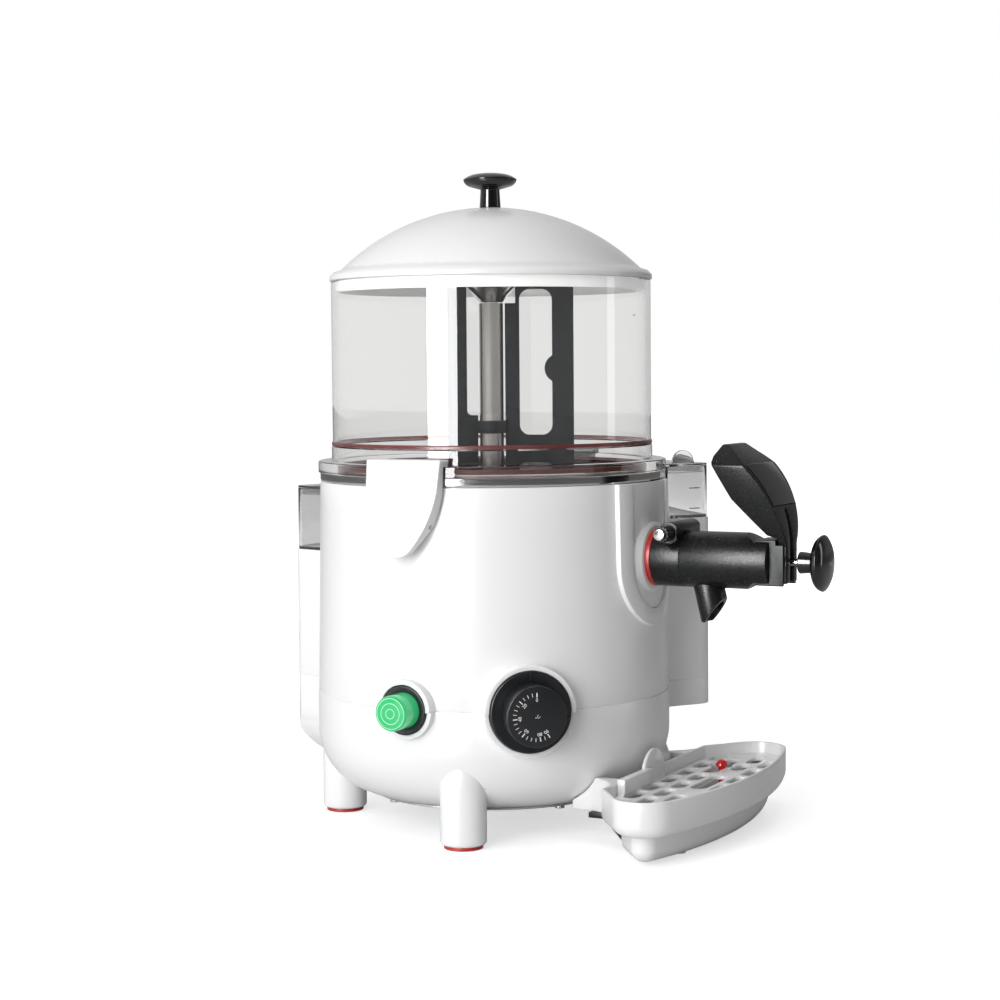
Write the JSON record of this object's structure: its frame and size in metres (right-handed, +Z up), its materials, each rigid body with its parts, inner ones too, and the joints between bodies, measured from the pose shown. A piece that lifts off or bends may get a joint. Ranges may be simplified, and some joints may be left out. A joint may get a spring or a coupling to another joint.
{
  "type": "hot chocolate dispenser",
  "caption": "Heated drink dispenser with a clear bowl, domed lid, stirrer, lever tap and pull-out drip tray.",
  "frame": {"origin": "on the axis of the round casing, at the level of the table the feet stand on", "axes": "+Z up, -Y out of the front, the way the tap points, -X to the side with the switch"},
  "size_m": [0.305, 0.4212, 0.4654],
  "materials": {
    "shell_white": "smooth gloss",
    "clear_plastic": "clear, polished",
    "smoked_plastic": "clear, faintly smoked",
    "polished_steel": "polished stainless steel",
    "plain_steel": "plain sheet steel",
    "seal_red": "silicone rubber",
    "seal_dark": "dark red silicone rubber",
    "tap_black": "fine-grained black",
    "knob_black": "glossy black",
    "dial_black": "satin black",
    "frame_grey": "satin dark grey",
    "stirrer_charcoal": "satin charcoal",
    "inner_plastic": "plain",
    "button_green": "translucent green",
    "float_red": "glossy red"
  },
  "bodies": {
    "machine": {"upper_shell": "shell_white", "lower_shell": "shell_white", "tap_shield": "shell_white", "bowl": "clear_plastic", "gauge_glass": "smoked_plastic", "tank_glass": "smoked_plastic", "jacket_pan": "polished_steel", "product_pan": "polished_steel", "centre_tube": "polished_steel", "latch_pins": "polished_steel", "base_screws": "polished_steel", "heating_ring": "polished_steel", "base_plate": "plain_steel", "motor_bracket": "plain_steel", "safety_cutout": "plain_steel", "motor": "plain_steel", "tap_seal": "seal_red", "rubber_feet": "seal_red", "rim_seal": "seal_dark", "bowl_seal": "seal_dark", "tap_collar": "tap_black", "tap_barrel": "tap_black", "spout": "tap_black", "thermostat_bezel": "dial_black", "tap_yoke": "frame_grey", "switch_bezel": "frame_grey", "shaft_bushes": "inner_plastic", "gearbox": "inner_plastic", "switch_body": "inner_plastic", "thermostat_body": "inner_plastic", "terminal_block": "inner_plastic", "cord_gland": "inner_plastic"},
    "stirrer": {"drive_shaft": "polished_steel", "drive_cap": "polished_steel", "stirrer": "stirrer_charcoal", "stirrer_nut": "stirrer_charcoal"},
    "lid": {"lid": "shell_white", "lid_knob": "knob_black", "lid_screw": "polished_steel"},
    "latch_left": {"latch_left": "shell_white"},
    "latch_right": {"latch_right": "shell_white"},
    "lock_pin": {"lock_pin": "polished_steel", "lock_pin_grip": "tap_black"},
    "plunger": {"tap_piston": "inner_plastic", "piston_rings": "seal_red", "tap_rod": "polished_steel", "tap_knob": "knob_black", "lever_pin": "polished_steel", "tap_spring": "polished_steel"},
    "lever": {"tap_lever": "tap_black", "lever_plate": "knob_black"},
    "thermostat_knob": {"thermostat_knob": "dial_black", "thermostat_spindle": "polished_steel"},
    "switch_button": {"switch_button": "button_green"},
    "tray": {"drip_tray": "shell_white", "tray_hooks": "dial_black"},
    "tray_grille": {"tray_grille": "shell_white"},
    "tray_float": {"tray_float": "float_red"},
    "gauge_lid": {"gauge_lid": "smoked_plastic"},
    "tank_lid": {"tank_lid": "smoked_plastic"}
  },
  "joints": [
    {"name": "stirrer_spin", "type": "hinge", "parent": "machine", "child": "stirrer", "pos_m": [0, 0, 0.3], "axis": [0, 0, 1], "continuous": true},
    {"name": "lid_lift", "type": "slide", "parent": "machine", "child": "lid", "axis": [0, 0, 1], "range_m": [0, 0.12]},
    {"name": "latch_left_swing", "type": "hinge", "parent": "machine", "child": "latch_left", "pos_m": [-0.1286, 0, 0.22], "axis": [0, -1, 0], "range_deg": [0, 16]},
    {"name": "latch_right_swing", "type": "hinge", "parent": "machine", "child": "latch_right", "pos_m": [0.1286, 0, 0.22], "axis": [0, 1, 0], "range_deg": [0, 16]},
    {"name": "lock_pin_pull", "type": "slide", "parent": "machine", "child": "lock_pin", "axis": [-1, 0, 0], "range_m": [0, 0.045]},
    {"name": "plunger_slide", "type": "slide", "parent": "machine", "child": "plunger", "axis": [0, -1, 0], "range_m": [0, 0.009], "stiffness_N_per_m": 600},
    {"name": "lever_hinge", "type": "hinge", "parent": "plunger", "child": "lever", "pos_m": [0, -0.2255, 0.1925], "axis": [1, 0, 0], "range_deg": [0, 35]},
    {"name": "thermostat_turn", "type": "hinge", "parent": "machine", "child": "thermostat_knob", "pos_m": [-0.10638, -0.08312, 0.0956], "axis": [0.788, 0.6157, 0], "range_deg": [0, 212]},
    {"name": "switch_press", "type": "slide", "parent": "machine", "child": "switch_button", "axis": [1, 0, 0], "range_m": [0, 0.003], "stiffness_N_per_m": 300},
    {"name": "tray_pull", "type": "slide", "parent": "machine", "child": "tray", "axis": [0, -1, 0], "range_m": [0, 0.12]},
    {"name": "grille_lift", "type": "slide", "parent": "tray", "child": "tray_grille", "axis": [0, 0, 1], "range_m": [0, 0.05]},
    {"name": "float_rise", "type": "slide", "parent": "tray", "child": "tray_float", "axis": [0, 0, 1], "range_m": [0, 0.006]},
    {"name": "gauge_lid_lift", "type": "slide", "parent": "machine", "child": "gauge_lid", "axis": [0, 0, 1], "range_m": [0, 0.03]},
    {"name": "tank_lid_lift", "type": "slide", "parent": "machine", "child": "tank_lid", "axis": [0, 0, 1], "range_m": [0, 0.03]}
  ],
  "couplings": [
    {"joint": "plunger_slide", "follows": "lever_hinge", "m_per_rad": 0.0135}
  ]
}
